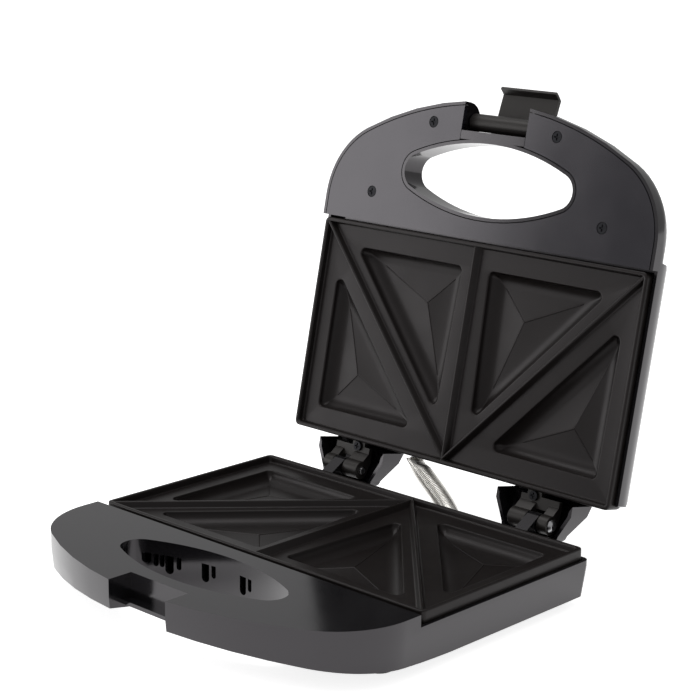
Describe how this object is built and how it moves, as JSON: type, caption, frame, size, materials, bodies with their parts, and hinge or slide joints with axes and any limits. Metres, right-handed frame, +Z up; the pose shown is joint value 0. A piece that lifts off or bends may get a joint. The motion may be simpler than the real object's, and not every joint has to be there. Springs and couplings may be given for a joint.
{
  "type": "sandwich toaster",
  "caption": "Countertop sandwich toaster with a hinged lid, cast plates with triangular pockets, an oval grip opening in each half and a snap latch at the front.",
  "frame": {"origin": "centre of the bounding box on the surface the feet stand on, lid fully open", "axes": "+X to the right seen from the handle side, +Y from the handle towards the hinge, +Z up"},
  "size_m": [0.2268, 0.2845, 0.2414],
  "materials": {
    "casing": "glossy black moulded casing",
    "dark_screw": "blackened steel",
    "element_sheath": "dull heat-darkened steel tube",
    "glass_sleeve": "woven glass sleeve",
    "green_lens": "clear green lens",
    "heat_plastic": "cream heat-proof moulding",
    "inner_cover": "glossy blue-black moulded cover",
    "lamp_glass": "neon lamp body",
    "latch_plastic": "matte dark brown-grey moulding",
    "non_stick_plate": "satin dark brown-black non-stick coating on a cast plate",
    "red_lens": "clear red lens",
    "reflector_sheet": "bright pressed sheet",
    "rubber": "matte black rubber",
    "spring_nickel": "bright nickel-plated wire",
    "steel": "zinc-plated steel"
  },
  "bodies": {
    "base": {"base_housing": "casing", "base_bottom_cover": "casing", "base_cover_screws": "dark_screw", "foot_front_left": "rubber", "foot_front_right": "rubber", "foot_rear_left": "rubber", "foot_rear_right": "rubber", "lower_plate": "non_stick_plate", "lower_heating_element": "element_sheath", "lower_reflector": "reflector_sheet", "lower_plate_screws": "steel", "terminal_block": "heat_plastic", "cord_inlet_bush": "rubber", "cord_clamp": "heat_plastic", "cord_clamp_screws": "steel", "wire_guard_spring": "spring_nickel", "wiring_sleeve": "glass_sleeve"},
    "lid": {"lid_shell": "casing", "handle_cover": "inner_cover", "handle_cover_screws": "dark_screw", "upper_plate": "non_stick_plate", "upper_heating_element": "element_sheath", "upper_reflector": "reflector_sheet", "upper_plate_screws": "steel", "thermostat": "steel", "thermal_fuse": "steel", "lamp_holder": "heat_plastic", "power_lamp_lens": "red_lens", "ready_lamp_lens": "green_lens", "power_lamp": "lamp_glass", "ready_lamp": "lamp_glass", "hinge_bracket_left": "latch_plastic", "hinge_bracket_right": "latch_plastic", "hinge_bracket_screws": "dark_screw", "hinge_pin_left": "steel", "hinge_pin_right": "steel", "latch_pin": "steel"},
    "latch": {"latch": "latch_plastic"}
  },
  "joints": [
    {"name": "lid_hinge", "type": "hinge", "parent": "base", "child": "lid", "pos_m": [0, 0.06794, 0.03], "axis": [1, 0, 0], "range_deg": [0, 101.8], "deforming": ["wire_guard_spring", "wiring_sleeve"]},
    {"name": "latch_hinge", "type": "hinge", "parent": "lid", "child": "latch", "pos_m": [0, 0.11945, 0.22325], "axis": [1, 0, 0], "range_deg": [0, 128.5]}
  ]
}
